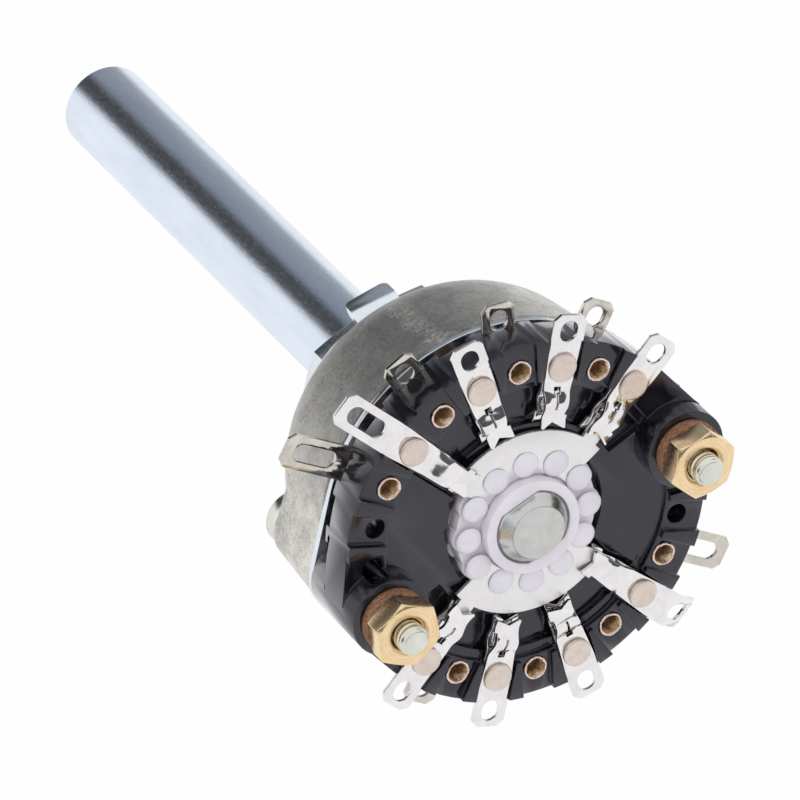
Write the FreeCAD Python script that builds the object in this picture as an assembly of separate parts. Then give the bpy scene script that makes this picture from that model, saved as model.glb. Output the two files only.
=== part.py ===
import FreeCAD, Part
import math
import os

# Open rotary wafer switch: four poles, three ways, 30 degree index.
# Drawn with the shaft axis along Z and the rear upwards, from the front end of the threaded bush.
# Every shape is turned when it is saved, so the shaft lies along Y and the locating tab is on top.

# Driving sizes, in millimetres and degrees

# Shaft
SHAFT_D = 6.0
SHAFT_FREE = 42.6
SHAFT_TIP_CHAMFER = 0.6
JOURNAL_D = 5.96
BUSH_RUN_CLEAR = 0.03
RELIEF_D = 5.5
RELIEF_LENGTH = 0.8
FLATTED_D = 5.0
FLATTED_ACROSS = 4.2
FLATTED_CHAMFER = 0.4
FLATTED_PROUD = 1.12
KEY_CLEAR = 0.02

# Threaded bush, panel nut and locating washer
BUSH_D = 10.0
BUSH_LENGTH = 5.0
BUSH_PITCH_D = 9.5
THREAD_RUN_OUT = 0.2
NUT_FLATS = 14.0
NUT_HEIGHT = 2.0
NUT_FACE_D = 13.8
NUT_CORNER_STATION = 2.8
THREAD_CLEAR = 0.05
LOCATOR_D = 16.4
LOCATOR_THICK = 0.8
LOCATOR_CLEAR = 0.1
TAB_STATION = 5
TAB_WIDTH = 3.1
TAB_REACH = 8.8
TAB_DROP = 2.2
TAB_BEND_R = 1.2
TAB_BEND_INNER_R = 0.4
TAB_CORNER_R = 0.5

# Die-cast housing
HOUSING_DEPTH = 10.0
HOUSING_FRONT_R = 7.7
SHOULDER_MID_R = 9.72
SHOULDER_MID_DEPTH = 1.3
SHOULDER_R = 11.08
SHOULDER_DEPTH = 4.2
HOUSING_REAR_R = 11.75
HOUSING_FLOOR = 1.8
CHAMBER_DEPTH = 6.4
UPPER_R = 10.6
LOBE_DEPTH = 3.85
LOBE_FRONT_R = 2.1
LOBE_REAR_R = 2.45
LOBE_BEVEL = 0.35
SCREW_CLEAR = 0.1
HEAD_CLEAR = 0.15

# Detent and stops
INDEX_PITCH = 30.0
INDEX_TRAVEL = 60.0
BALL_D = 3.0
BALL_TRAVEL = 0.4
BALL_CLEAR = 0.04
CREST_R = 8.1
BALL_FROM_LUG = 75.0
CARRIER_CLEAR = 0.3
CARRIER_GAP = 0.2
CARRIER_DEPTH = 6.2
CARRIER_HUB_D = 9.0
CARRIER_END_GAP = 0.1
BALL_HEIGHT = 3.1
SPRING_WIRE_D = 0.4
SPRING_TURNS = 2.5
SPRING_END_GAP = 0.05
STOP_LUG_HALF = 12.0
STOP_LUG_INNER_R = 6.4
STOP_LUG_HEIGHT = 1.6
STOP_BLOCK_ANGLE = 16.0
STOP_BLOCK_ROOT_R = 8.7
STOP_BLOCK_OUTER_R = 9.6
STOP_GAP_ANGLE = 0.4

# Rear plate
PLATE_THICK = 0.5
PLATE_R = 11.65
PLATE_LOBE_R = 2.55
PLATE_BORE_D = 7.4

# Wafer
WAFER_R = 12.4
WAFER_LOBE_R = 2.6
WAFER_WEB = 2.5
POST_HEIGHT = 1.85
WAFER_BORE_D = 10.7
ANNULUS_R = 9.7
ANNULUS_DEPTH = 0.4
POCKET_DEPTH = 0.9
POCKET_INNER_R = 6.65
POCKET_BEHIND = 0.2
POCKET_NEAR = 7.5
POCKET_FAR = 19.5
JAW_ROOM = 0.3
BED_DEPTH = 0.25
BAR_HEIGHT = 0.4
BAR_INNER_R = 9.8
PAD_HALF = 1.05
BOSS_HEIGHT = 1.65
CLIP_SIDE = 0.03
HOLE_CLEAR = 0.05

# Contact rings and rotor
RING_THICK = 0.3
RING_INNER_R = 3.35
RING_OUTER_R = 6.3
RING_START = 2.5
RING_END = 9.65
BLADE_STATION = 9
BLADE_REACH = 8.0
BLADE_WIDTH = 1.2
ROTOR_R = 4.8
ROTOR_LOBE_R = 0.95
STAKE_CIRCLE_R = 4.14
STAKE_HEAD_R = 0.8
STAKE_HEAD_T = 0.17
STAKE_PIN_R = 0.5
STAKE_CLEAR = 0.03
COLLAR_R = 3.2
COLLAR_REAR = 0.85
COLLAR_GAP = 0.15

# Contact clips
STATION_R = 10.64
STATION_PITCH = 15.0
STRIP = 0.25
CONTACT_GAP = 0.05
CLIP_HALF = 1.13
NECK_HALF = 0.75
EAR_HALF = 0.95
JAW_START_R = 9.3
JAW_SHAPE = {"way": 6.55, "common": 5.45}
BOW_HEIGHT = {"way": 0.42, "common": 0.5}
EAR_LENGTH = 0.9
NOTCH = 0.45
TIP_FLARE = 0.14
INNER_END = 1.15
LUG_END_R = {"way": 14.15, "common": 17.1}
LUG_CHAMFER = 0.42
LUG_HOLE_R = {"way": 13.03, "common": 14.85}
LUG_HOLE_LONG = {"way": 1.4, "common": 3.1}
LUG_HOLE_WIDE = 1.18
PUNCH_WIDTH = 0.45
PUNCH_BACK = 0.45
SLIT_WIDTH = 0.14
SLIT_LENGTH = 0.95

# Rivets
RIVET_HEAD_D = 1.9
RIVET_HEAD_T = 0.25
RIVET_SHANK_D = 1.2
RIVET_FLANGE_D = 1.56
RIVET_FLANGE_T = 0.08
RIVET_BORE_D = 0.9
RIVET_BORE_DEPTH = 1.3

# Assembly screws, washers and nuts
STUD_R = 10.64
SCREW_D = 2.0
SCREW_LENGTH = 16.0
SCREW_HEAD_D = 3.8
SCREW_HEAD_H = 1.3
SCREW_SLOT = 0.5
SCREW_SLOT_DEPTH = 0.6
SCREW_TIP_CHAMFER = 0.2
FIBRE_D = 4.2
FIBRE_THICK = 0.8
BRASS_FLATS = 4.0
BRASS_HEIGHT = 1.6
BRASS_FACE_D = 3.9
BRASS_CORNER = {0: 22.5, 180: 0.0}

# Stations, counted clockwise from behind in steps of 15 degrees
POLES = {"rear_a": 3, "rear_b": 15, "front_a": 2, "front_b": 14}
WAYS = (2, 4, 6)
LAST_STATION = 9
HALF_TURN = 12

# Levels along the axis
Z_FACE = BUSH_LENGTH
Z_NUT = Z_FACE - LOCATOR_THICK - NUT_HEIGHT
Z_INSIDE = Z_FACE + HOUSING_FLOOR
Z_LEDGE = Z_INSIDE + CHAMBER_DEPTH
Z_SEAT = Z_FACE + LOBE_DEPTH
Z_PLATE = Z_FACE + HOUSING_DEPTH
Z_RIM = Z_PLATE + PLATE_THICK
Z_FRONT_LAND = Z_RIM + POST_HEIGHT
Z_LAND = Z_FRONT_LAND + WAFER_WEB
Z_MIDDLE = (Z_LAND + Z_FRONT_LAND) / 2
Z_BOSS = Z_LAND + BOSS_HEIGHT
Z_CARRIER = Z_INSIDE + CARRIER_GAP
Z_BALL = Z_CARRIER + BALL_HEIGHT
Z_SHAFT_END = Z_LAND + FLATTED_PROUD

UP = FreeCAD.Vector(0, 0, 1)
ORIGIN = FreeCAD.Vector(0, 0, 0)


# Helpers

def vec(x, y, z=0.0):
    return FreeCAD.Vector(x, y, z)


def station_angle(k):
    """Angle of station k from X, in degrees."""
    return -STATION_PITCH * (k + 1)


def turned(shape, degrees):
    copy = shape.copy()
    copy.rotate(ORIGIN, UP, degrees)
    return copy


def at_station(shape, k):
    """Copy of a shape drawn along X, turned to station k."""
    return turned(shape, station_angle(k))


def to_front(shape):
    """Rear-side shape turned over about X to the wafer's front side."""
    copy = shape.copy()
    copy.rotate(vec(0, 0, Z_MIDDLE), vec(1, 0, 0), 180)
    return copy


def fuse_all(shapes):
    whole = shapes[0]
    if len(shapes) > 1:
        whole = whole.multiFuse(shapes[1:])
    return whole.removeSplitter()


def cylinder(radius, low, high, x=0.0, y=0.0):
    return Part.makeCylinder(radius, high - low, vec(x, y, low))


def tube(outer, inner, low, high):
    return cylinder(outer, low, high).cut(cylinder(inner, low - 1, high + 1))


def block(x0, x1, half, low, high):
    return Part.makeBox(x1 - x0, 2 * half, high - low, vec(x0, -half, low))


def prism(points, low, high):
    """Upright solid on a closed outline of (x, y) points."""
    wire = Part.makePolygon([vec(x, y, low) for x, y in points + points[:1]])
    return Part.Face(wire).extrude(vec(0, 0, high - low))


def revolved(points):
    """Closed outline of (radius, z) points turned about the axis."""
    wire = Part.makePolygon([vec(r, 0, z) for r, z in points + points[:1]])
    return Part.Face(wire).revolve(ORIGIN, UP, 360)


def polar(radius, degrees, z=0.0):
    a = math.radians(degrees)
    return vec(radius * math.cos(a), radius * math.sin(a), z)


def arc_edge(centre, radius, a0, a1, z):
    points = [centre + polar(radius, a, z) for a in (a0, (a0 + a1) / 2, a1)]
    return Part.Arc(*points).toShape()


def sector(inner, outer, a0, a1, low, high):
    """Piece of a ring between two angles."""
    edges = [arc_edge(ORIGIN, inner, a0, a1, low),
             Part.makeLine(polar(inner, a1, low), polar(outer, a1, low)),
             arc_edge(ORIGIN, outer, a1, a0, low),
             Part.makeLine(polar(outer, a0, low), polar(inner, a0, low))]
    return Part.Face(Part.Wire(edges)).extrude(vec(0, 0, high - low))


def slot_hole(x, length, width, low, high):
    """Round-ended slot along X, centred on x."""
    half = (length - width) / 2
    middle = block(x - half, x + half, width / 2, low, high)
    return fuse_all([middle] + [cylinder(width / 2, low, high, x + s * half) for s in (-1, 1)])


def lobed_wire(main_r, lobe_r, z):
    """Circle with a round lobe at each stud, joined by tangents."""
    beta = math.degrees(math.acos((main_r - lobe_r) / STUD_R))
    edges = []
    for side in (0, 180):
        centre = polar(STUD_R, side)
        edges.append(arc_edge(centre, lobe_r, side - beta, side + beta, z))
        edges.append(Part.makeLine(centre + polar(lobe_r, side + beta, z), polar(main_r, side + beta, z)))
        edges.append(arc_edge(ORIGIN, main_r, side + beta, side + 180 - beta, z))
        across = polar(STUD_R, side + 180) + polar(lobe_r, side + 180 - beta, z)
        edges.append(Part.makeLine(polar(main_r, side + 180 - beta, z), across))
    return Part.Wire(edges)


def lobed_plate(main_r, lobe_r, low, high):
    return Part.Face(lobed_wire(main_r, lobe_r, low)).extrude(vec(0, 0, high - low))


def stud_pair(radius, low, high):
    return [cylinder(radius, low, high, side * STUD_R) for side in (1, -1)]


def screw_holes(low, high):
    return stud_pair(SCREW_D / 2 + SCREW_CLEAR, low - 1, high + 1)


def hexagon(flats, low, high, corner):
    points = [polar(flats / math.sqrt(3), corner + 60 * i) for i in range(6)]
    return prism([(p.x, p.y) for p in points], low, high)


def corner_trim(flats, face_d, low, high, rear):
    """Solid that takes a nut's corners off at 30 degrees."""
    corner = flats / math.sqrt(3) + 0.01
    drop = (corner - face_d / 2) * math.tan(math.radians(30))
    outline = [(0, low), (face_d / 2, low), (corner, low + drop)]
    if rear:
        outline += [(corner, high - drop), (face_d / 2, high), (0, high)]
    else:
        outline += [(corner, high), (0, high)]
    return revolved(outline)


# Shaft and rotor drive

def flatted_bar(low, high, clear=0.0):
    """Round bar with two flats, which face between stations four and five."""
    across = FLATTED_ACROSS / 2 + clear
    bar = cylinder(FLATTED_D / 2 + clear, low, high)
    return at_station(bar.common(block(-across, across, FLATTED_D, low, high)), TAB_STATION - 0.5)


def shaft():
    tip = -SHAFT_FREE
    r = SHAFT_D / 2
    journal = JOURNAL_D / 2
    c = SHAFT_TIP_CHAMFER
    relief = RELIEF_D / 2
    g = RELIEF_LENGTH / 2
    front = revolved([(0, tip), (r - c, tip), (r, tip + c), (r, -g), (relief, -g), (relief, g),
                      (journal, g), (journal, Z_CARRIER), (0, Z_CARRIER)])
    end_r = FLATTED_D / 2
    e = FLATTED_CHAMFER
    trim = revolved([(0, Z_CARRIER), (end_r, Z_CARRIER), (end_r, Z_SHAFT_END - e),
                     (end_r - e, Z_SHAFT_END), (0, Z_SHAFT_END)])
    rear = flatted_bar(Z_CARRIER, Z_SHAFT_END).common(trim)
    return fuse_all([front, rear])


def stakes():
    """Lobe, pin and headed end of the rear side's twelve stakes."""
    face = Z_LAND - RING_THICK / 2
    seat = Z_LAND + RING_THICK / 2
    stake = fuse_all([cylinder(ROTOR_LOBE_R, Z_MIDDLE, face, STAKE_CIRCLE_R),
                      cylinder(STAKE_PIN_R, Z_MIDDLE, seat, STAKE_CIRCLE_R),
                      cylinder(STAKE_HEAD_R, seat, seat + STAKE_HEAD_T, STAKE_CIRCLE_R)])
    return [at_station(stake, k) for k in stake_stations()]


def stake_stations():
    return range(0, 24, 2)


def rotor():
    half = RING_THICK / 2
    solids = [cylinder(ROTOR_R, Z_FRONT_LAND + half, Z_LAND - half),
              cylinder(COLLAR_R, Z_RIM + COLLAR_GAP, Z_LAND + COLLAR_REAR)]
    for stake in stakes():
        solids += [stake, turned(to_front(stake), STATION_PITCH)]
    return fuse_all(solids).cut(flatted_bar(Z_RIM - 1, Z_LAND + 2, KEY_CLEAR))


def ring_form():
    """Arc of contact ring with one switching blade, punched for the stakes."""
    low = Z_LAND - RING_THICK / 2
    high = Z_LAND + RING_THICK / 2
    ring = sector(RING_INNER_R, RING_OUTER_R, station_angle(RING_END), station_angle(RING_START), low, high)
    blade = at_station(block(RING_OUTER_R - 1, BLADE_REACH, BLADE_WIDTH / 2, low, high), BLADE_STATION)
    hole = cylinder(STAKE_PIN_R + STAKE_CLEAR, low - 1, high + 1, STAKE_CIRCLE_R)
    holes = [at_station(hole, k) for k in stake_stations() if k > RING_START]
    return fuse_all([ring, blade]).cut(fuse_all(holes))


def ring_segment(pole):
    """The ring stamping in its pole's place on the rotor."""
    segment = turned(ring_form(), -STATION_PITCH * (POLES[pole] - POLES["rear_a"]))
    if pole.startswith("front"):
        segment.translate(vec(0, 0, Z_FRONT_LAND - Z_LAND))
    return segment


# Index mechanism

def lug_angle():
    """Rest angle of the stop lug, in line with the first blade."""
    return station_angle(BLADE_STATION)


def ball_angles():
    first = lug_angle() + BALL_FROM_LUG
    return {"a": first, "b": first + 180}


def ball_rest_r():
    return CREST_R - BALL_CLEAR - BALL_D / 2


def pocket_floor_r():
    return FLATTED_D / 2 + 0.7


def ball_pocket(angle):
    start = pocket_floor_r()
    bore = Part.makeCylinder(BALL_D / 2 + BALL_CLEAR, CREST_R - start, vec(start, 0, Z_BALL), vec(1, 0, 0))
    return turned(bore, angle)


def index_carrier():
    high = Z_CARRIER + CARRIER_DEPTH
    outer = CREST_R - CARRIER_CLEAR
    disc = cylinder(outer, Z_CARRIER, high)
    hub = cylinder(CARRIER_HUB_D / 2, high, Z_PLATE - CARRIER_END_GAP)
    lug = sector(STOP_LUG_INNER_R, outer, -STOP_LUG_HALF, STOP_LUG_HALF, high, high + STOP_LUG_HEIGHT)
    body = fuse_all([disc, hub, turned(lug, lug_angle())])
    tools = [ball_pocket(a) for a in ball_angles().values()]
    return body.cut(fuse_all(tools + [flatted_bar(Z_CARRIER - 1, Z_PLATE + 1, KEY_CLEAR)]))


def detent_ball(angle):
    return turned(Part.makeSphere(BALL_D / 2, vec(ball_rest_r(), 0, Z_BALL)), angle)


def detent_spring(angle):
    """Coil between the pocket's floor and the ball."""
    start = pocket_floor_r() + SPRING_WIRE_D / 2 + SPRING_END_GAP
    end = ball_rest_r() - BALL_D / 2 - SPRING_WIRE_D / 2 - SPRING_END_GAP
    radius = BALL_D / 2 - SPRING_WIRE_D
    path = Part.makeHelix((end - start) / SPRING_TURNS, end - start, radius)
    section = Part.Wire(Part.makeCircle(SPRING_WIRE_D / 2, vec(radius, 0, 0), vec(0, 1, 0)))
    coil = Part.Wire(path.Edges).makePipeShell([section], True, True)
    coil.rotate(ORIGIN, vec(0, 1, 0), 90)
    coil.translate(vec(start, 0, Z_BALL))
    return turned(coil, angle)


# Housing, rear plate and front hardware

def cup():
    """Solid of revolution with a rounded shoulder and a tapered wall."""
    front = vec(HOUSING_FRONT_R, 0, Z_FACE)
    middle = vec(SHOULDER_MID_R, 0, Z_FACE + SHOULDER_MID_DEPTH)
    shoulder = vec(SHOULDER_R, 0, Z_FACE + SHOULDER_DEPTH)
    rear = vec(HOUSING_REAR_R, 0, Z_PLATE)
    edges = [Part.makeLine(vec(0, 0, Z_FACE), front), Part.Arc(front, middle, shoulder).toShape(),
             Part.makeLine(shoulder, rear), Part.makeLine(rear, vec(0, 0, Z_PLATE)),
             Part.makeLine(vec(0, 0, Z_PLATE), vec(0, 0, Z_FACE))]
    return Part.Face(Part.Wire(edges)).revolve(ORIGIN, UP, 360)


def housing_shell():
    bevel = Z_SEAT + LOBE_BEVEL
    inside = SHOULDER_R - LOBE_BEVEL
    low_wire = lobed_wire(inside, LOBE_FRONT_R, bevel)
    lobes = Part.makeLoft([low_wire, lobed_wire(HOUSING_REAR_R - LOBE_BEVEL, LOBE_REAR_R, Z_PLATE)], True, True)
    top_wire = lobed_wire(inside - LOBE_BEVEL, LOBE_FRONT_R - LOBE_BEVEL, Z_SEAT)
    tops = Part.makeLoft([top_wire, low_wire], True, True)
    bush = cylinder(BUSH_PITCH_D / 2, 0, Z_FACE + 0.5)
    thread = cylinder(BUSH_D / 2, 0, Z_NUT - THREAD_RUN_OUT)
    return fuse_all([cup(), lobes, tops, bush, thread])


def chamber():
    """Detent chamber with its grooves, and the wider space behind it."""
    seat = ball_rest_r() + BALL_TRAVEL
    groove = cylinder(BALL_D / 2 + BALL_CLEAR, Z_INSIDE, Z_LEDGE, seat)
    count = round(360 / INDEX_PITCH)
    grooves = [turned(groove, ball_angles()["a"] + i * INDEX_PITCH) for i in range(count)]
    upper = cylinder(UPPER_R, Z_LEDGE, Z_PLATE + 1)
    for post in stud_pair(LOBE_REAR_R, Z_LEDGE - 1, Z_PLATE + 2):
        upper = upper.cut(post)
    return fuse_all([cylinder(CREST_R, Z_INSIDE, Z_PLATE + 1), upper] + grooves)


def stop_blocks():
    """Two cast stops on the ledge, which end the shaft's travel."""
    low = Z_LEDGE + CARRIER_GAP
    high = Z_CARRIER + CARRIER_DEPTH + STOP_LUG_HEIGHT
    first = lug_angle() - STOP_LUG_HALF - STOP_GAP_ANGLE
    last = lug_angle() + INDEX_TRAVEL + STOP_LUG_HALF + STOP_GAP_ANGLE
    blocks = []
    for a0, a1 in ((first - STOP_BLOCK_ANGLE, first), (last, last + STOP_BLOCK_ANGLE)):
        blocks.append(sector(STOP_LUG_INNER_R, STOP_BLOCK_OUTER_R, a0, a1, low, high))
        blocks.append(sector(STOP_BLOCK_ROOT_R, STOP_BLOCK_OUTER_R, a0, a1, Z_LEDGE - 0.2, high))
    return blocks


def housing():
    body = housing_shell().cut(chamber())
    bore = cylinder(JOURNAL_D / 2 + BUSH_RUN_CLEAR, -1, Z_INSIDE + 1)
    notches = stud_pair(SCREW_HEAD_D / 2 + HEAD_CLEAR, Z_FACE - 1, Z_SEAT)
    body = body.cut(fuse_all([bore] + notches + screw_holes(0, Z_PLATE)))
    return fuse_all([body] + stop_blocks())


def locating_washer():
    low = Z_FACE - LOCATOR_THICK
    disc = tube(LOCATOR_D / 2, BUSH_D / 2 + LOCATOR_CLEAR, low, Z_FACE)
    foot = block(BUSH_D / 2 + 1, TAB_REACH, TAB_WIDTH / 2, low, Z_FACE)
    leg = block(TAB_REACH - LOCATOR_THICK, TAB_REACH, TAB_WIDTH / 2, Z_FACE - TAB_DROP, Z_FACE)
    tab = fuse_all([foot, leg])
    tab = tab.makeFillet(TAB_BEND_R, tab_edges(tab, TAB_REACH, Z_FACE))
    tab = tab.makeFillet(TAB_BEND_INNER_R, tab_edges(tab, TAB_REACH - LOCATOR_THICK, low))
    corners = [e for e in tab.Edges if e.BoundBox.ZMax < Z_FACE - TAB_DROP + 0.01 and e.BoundBox.YLength < 0.01]
    tab = tab.makeFillet(TAB_CORNER_R, corners)
    return fuse_all([disc, at_station(tab, TAB_STATION)])


def tab_edges(tab, x, z):
    """Edges of the tab that run across it at one corner of its profile."""
    return [e for e in tab.Edges if (e.CenterOfMass - vec(x, 0, z)).Length < 0.01]


def panel_nut():
    high = Z_FACE - LOCATOR_THICK
    body = hexagon(NUT_FLATS, Z_NUT, high, station_angle(NUT_CORNER_STATION))
    body = body.common(corner_trim(NUT_FLATS, NUT_FACE_D, Z_NUT, high, False))
    return body.cut(cylinder(BUSH_PITCH_D / 2 + THREAD_CLEAR, Z_NUT - 1, high + 1))


def rear_plate():
    plate = lobed_plate(PLATE_R, PLATE_LOBE_R, Z_PLATE, Z_RIM)
    bore = cylinder(PLATE_BORE_D / 2, Z_PLATE - 1, Z_RIM + 1)
    return plate.cut(fuse_all([bore] + screw_holes(Z_PLATE, Z_RIM)))


# Contact clips: one stamping bowed to a jaw, used twice in each clip

def strip_face(kind):
    """Side view of a strip, flat over the land and bowed over the ring."""
    outer = LUG_END_R[kind]
    tip = JAW_SHAPE[kind]
    contact = RING_THICK / 2 + CONTACT_GAP
    span = JAW_START_R - tip
    points = [(JAW_START_R, 0.0), (JAW_START_R - 0.22 * span, 0.5 * BOW_HEIGHT[kind]),
              (JAW_START_R - 0.42 * span, BOW_HEIGHT[kind]), (JAW_START_R - 0.68 * span, contact),
              (tip, contact + TIP_FLARE)]
    curves = []
    for rise in (0.0, STRIP):
        curve = Part.BSplineCurve()
        nodes = [vec(x, 0, Z_LAND + z + rise) for x, z in points]
        curve.interpolate(Points=nodes, InitialTangent=vec(-1, 0, 0), FinalTangent=vec(-1, 0, 0.35))
        curves.append(curve.toShape())
    corners = [vec(tip, 0, Z_LAND + points[-1][1]), vec(tip, 0, Z_LAND + points[-1][1] + STRIP),
               vec(JAW_START_R, 0, Z_LAND + STRIP), vec(outer, 0, Z_LAND + STRIP),
               vec(outer, 0, Z_LAND), vec(JAW_START_R, 0, Z_LAND)]
    edges = [curves[0], Part.makeLine(corners[0], corners[1]), curves[1]]
    edges += [Part.makeLine(corners[i], corners[i + 1]) for i in (2, 3, 4)]
    return Part.Face(Part.Wire(Part.__sortEdges__(edges)))


def strip_outline(kind):
    """Plan of a strip: chamfered lug, waist, neck, one ear and a notched tip."""
    end = LUG_END_R[kind]
    tip = JAW_SHAPE[kind]
    ear = tip + EAR_LENGTH
    c = LUG_CHAMFER
    return [(end, CLIP_HALF - c), (end - c, CLIP_HALF), (STATION_R + 1.2, CLIP_HALF),
            (JAW_START_R, EAR_HALF), (ear + 0.3, NECK_HALF), (tip + 0.1, NECK_HALF), (tip, NECK_HALF - 0.15),
            (tip + NOTCH, 0.0), (tip + 0.05, -EAR_HALF + 0.1), (tip + 0.1, -EAR_HALF), (ear, -EAR_HALF),
            (ear + 0.05, -NECK_HALF), (ear + 0.3, -NECK_HALF), (JAW_START_R, -EAR_HALF),
            (STATION_R + 1.2, -CLIP_HALF), (end - c, -CLIP_HALF), (end, -CLIP_HALF + c)]


def jaw_strip(kind):
    """Formed strip in the rear side's outer place, drawn along X."""
    low = Z_LAND - 1
    high = Z_LAND + 2
    body = strip_face(kind).extrude(vec(0, 2 * CLIP_HALF + 1, 0))
    body.translate(vec(0, -CLIP_HALF - 0.5, 0))
    body = body.common(prism(strip_outline(kind), low, high))
    body = body.cut(cylinder(RIVET_SHANK_D / 2 + HOLE_CLEAR, low, high, STATION_R))
    if kind == "common":
        return body
    start = JAW_START_R - PUNCH_BACK
    punch = block(start, start + PUNCH_WIDTH, PUNCH_WIDTH / 2, low, high)
    slit = block(start - SLIT_LENGTH, start + PUNCH_WIDTH, SLIT_WIDTH / 2, low, high)
    return body.cut(fuse_all([punch, slit]))


def outer_strip(kind):
    hole = slot_hole(LUG_HOLE_R[kind], LUG_HOLE_LONG[kind], LUG_HOLE_WIDE, Z_LAND - 1, Z_LAND + 1)
    return jaw_strip(kind).cut(hole)


def inner_strip(kind):
    """The same stamping turned over and cut short behind the rivet."""
    body = jaw_strip(kind)
    body.rotate(vec(0, 0, Z_LAND), vec(1, 0, 0), 180)
    keep = block(0, STATION_R + INNER_END, CLIP_HALF + 1, Z_LAND - 2, Z_LAND + 1)
    return body.common(keep)


def clip_stations(side):
    """Name, kind and station of every clip on one side of the wafer."""
    found = []
    for pole, first in POLES.items():
        if pole.startswith(side):
            found.append((pole + "_common", "common", first))
            for way, step in enumerate(reversed(WAYS), 1):
                found.append(("%s_way_%d" % (pole, way), "way", first + step))
    return found


def contact_clips():
    """Every clip strip in its place, by name."""
    strips = {}
    forms = {(kind, part): make(kind) for kind in ("way", "common")
             for part, make in (("outer", outer_strip), ("inner", inner_strip))}
    for side in ("rear", "front"):
        for name, kind, k in clip_stations(side):
            for part in ("outer", "inner"):
                form = forms[kind, part]
                placed = form if side == "rear" else to_front(form)
                strips["clip_%s_%s" % (name, part)] = at_station(placed, k)
    return strips


# Wafer

def side_recesses(side):
    """Ring recess, jaw pockets and strip beds of one side, as drawn on the rear."""
    tools = [tube(ANNULUS_R, 1.0, Z_LAND - ANNULUS_DEPTH, Z_LAND + 2)]
    floor = Z_LAND - POCKET_DEPTH
    outer = JAW_START_R - POCKET_BEHIND
    bed_half = CLIP_HALF + CLIP_SIDE
    sign = 1 if side == "rear" else -1
    for pole, first in POLES.items():
        if pole.startswith(side):
            edges = (station_angle(first) + POCKET_NEAR, station_angle(first + WAYS[-1]) - POCKET_FAR)
            a0, a1 = sorted(sign * a for a in edges)
            tools.append(sector(POCKET_INNER_R, outer, a0, a1, floor, Z_LAND + 1))
    for _, kind, k in clip_stations(side):
        half = EAR_HALF + JAW_ROOM
        inner = WAFER_BORE_D / 2 - 0.3 if kind == "common" else POCKET_INNER_R
        pocket = block(inner, outer, half, floor, Z_LAND + 1)
        bed = block(outer - 0.5, STATION_R + INNER_END + 0.1, bed_half, Z_LAND - BED_DEPTH, Z_LAND + 1)
        tools += [turned(t, sign * station_angle(k)) for t in (pocket, bed)]
    return tools


def stations():
    """Every station that has a rivet hole."""
    return [first + k for first in (0, HALF_TURN) for k in range(LAST_STATION + 1)]


def divider_bars(side):
    """Proud bars left between the clip beds and the rivet pads of one side, as drawn on the rear."""
    sign = 1 if side == "rear" else -1
    low = Z_LAND - 0.1
    high = Z_LAND + BAR_HEIGHT
    bars = []
    for first in (0, HALF_TURN):
        ends = sorted(sign * station_angle(first + k) for k in (0, LAST_STATION))
        bars.append(sector(BAR_INNER_R, WAFER_R, ends[0], ends[1], low, high))
    clips = [k for _, _, k in clip_stations(side)]
    gaps = []
    for k in stations():
        half = CLIP_HALF + CLIP_SIDE if k in clips else PAD_HALF
        gap = block(BAR_INNER_R - 1, WAFER_R + 1, half, low - 1, high + 1)
        gaps.append(turned(gap, sign * station_angle(k)))
    return [bar.cut(fuse_all(gaps)) for bar in bars]


def wafer_body():
    web = lobed_plate(WAFER_R, WAFER_LOBE_R, Z_FRONT_LAND, Z_LAND)
    web = web.cut(fuse_all(side_recesses("rear") + [to_front(t) for t in side_recesses("front")]))
    bars = divider_bars("rear") + [to_front(b) for b in divider_bars("front")]
    posts = [p.cut(cylinder(STUD_R - WAFER_LOBE_R, Z_RIM - 1, Z_LAND))
             for p in stud_pair(WAFER_LOBE_R, Z_RIM, Z_FRONT_LAND)]
    bosses = stud_pair(WAFER_LOBE_R, Z_LAND - BAR_HEIGHT, Z_BOSS)
    return fuse_all([web] + bars + posts + bosses)


def wafer():
    cuts = [cylinder(WAFER_BORE_D / 2, Z_RIM - 1, Z_LAND + 2)] + screw_holes(Z_RIM, Z_BOSS)
    hole = cylinder(RIVET_SHANK_D / 2 + HOLE_CLEAR, Z_RIM - 1, Z_LAND + 1, STATION_R)
    cuts += [at_station(hole, k) for k in stations()]
    return wafer_body().cut(fuse_all(cuts))


# Fasteners

def clip_rivet():
    """Semi-tubular rivet through both strips and the wafer, rolled over at the far end."""
    top = Z_LAND + STRIP
    far = Z_FRONT_LAND
    r = RIVET_SHANK_D / 2
    solid = fuse_all([cylinder(RIVET_HEAD_D / 2, top, top + RIVET_HEAD_T, STATION_R),
                      cylinder(r, far - RIVET_FLANGE_T, top + RIVET_HEAD_T / 2, STATION_R),
                      cylinder(RIVET_FLANGE_D / 2, far - RIVET_FLANGE_T, far, STATION_R)])
    bore = cylinder(RIVET_BORE_D / 2, far - 1, far + RIVET_BORE_DEPTH, STATION_R)
    return solid.cut(bore)


def clip_rivets():
    rivet = clip_rivet()
    rear = [at_station(rivet, k) for _, _, k in clip_stations("rear")]
    front = [at_station(to_front(rivet), k) for _, _, k in clip_stations("front")]
    return Part.makeCompound(rear + front)


def screw_shank(low, high):
    """Plain core of a screw with a chamfered end."""
    r = SCREW_D / 2
    c = SCREW_TIP_CHAMFER
    shank = revolved([(0, low), (r, low), (r, high - c), (r - c, high), (0, high)])
    shank.translate(vec(STUD_R, 0, 0))
    return shank


def assembly_screw():
    head = cylinder(SCREW_HEAD_D / 2, Z_SEAT - SCREW_HEAD_H, Z_SEAT, STUD_R)
    shank = screw_shank(Z_SEAT - SCREW_HEAD_H / 2, Z_SEAT + SCREW_LENGTH)
    slot_floor = Z_SEAT - SCREW_HEAD_H + SCREW_SLOT_DEPTH
    slot = block(STUD_R - SCREW_HEAD_D, STUD_R + SCREW_HEAD_D, SCREW_SLOT / 2, Z_FACE - 1, slot_floor)
    return fuse_all([head, shank]).cut(slot)


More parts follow.
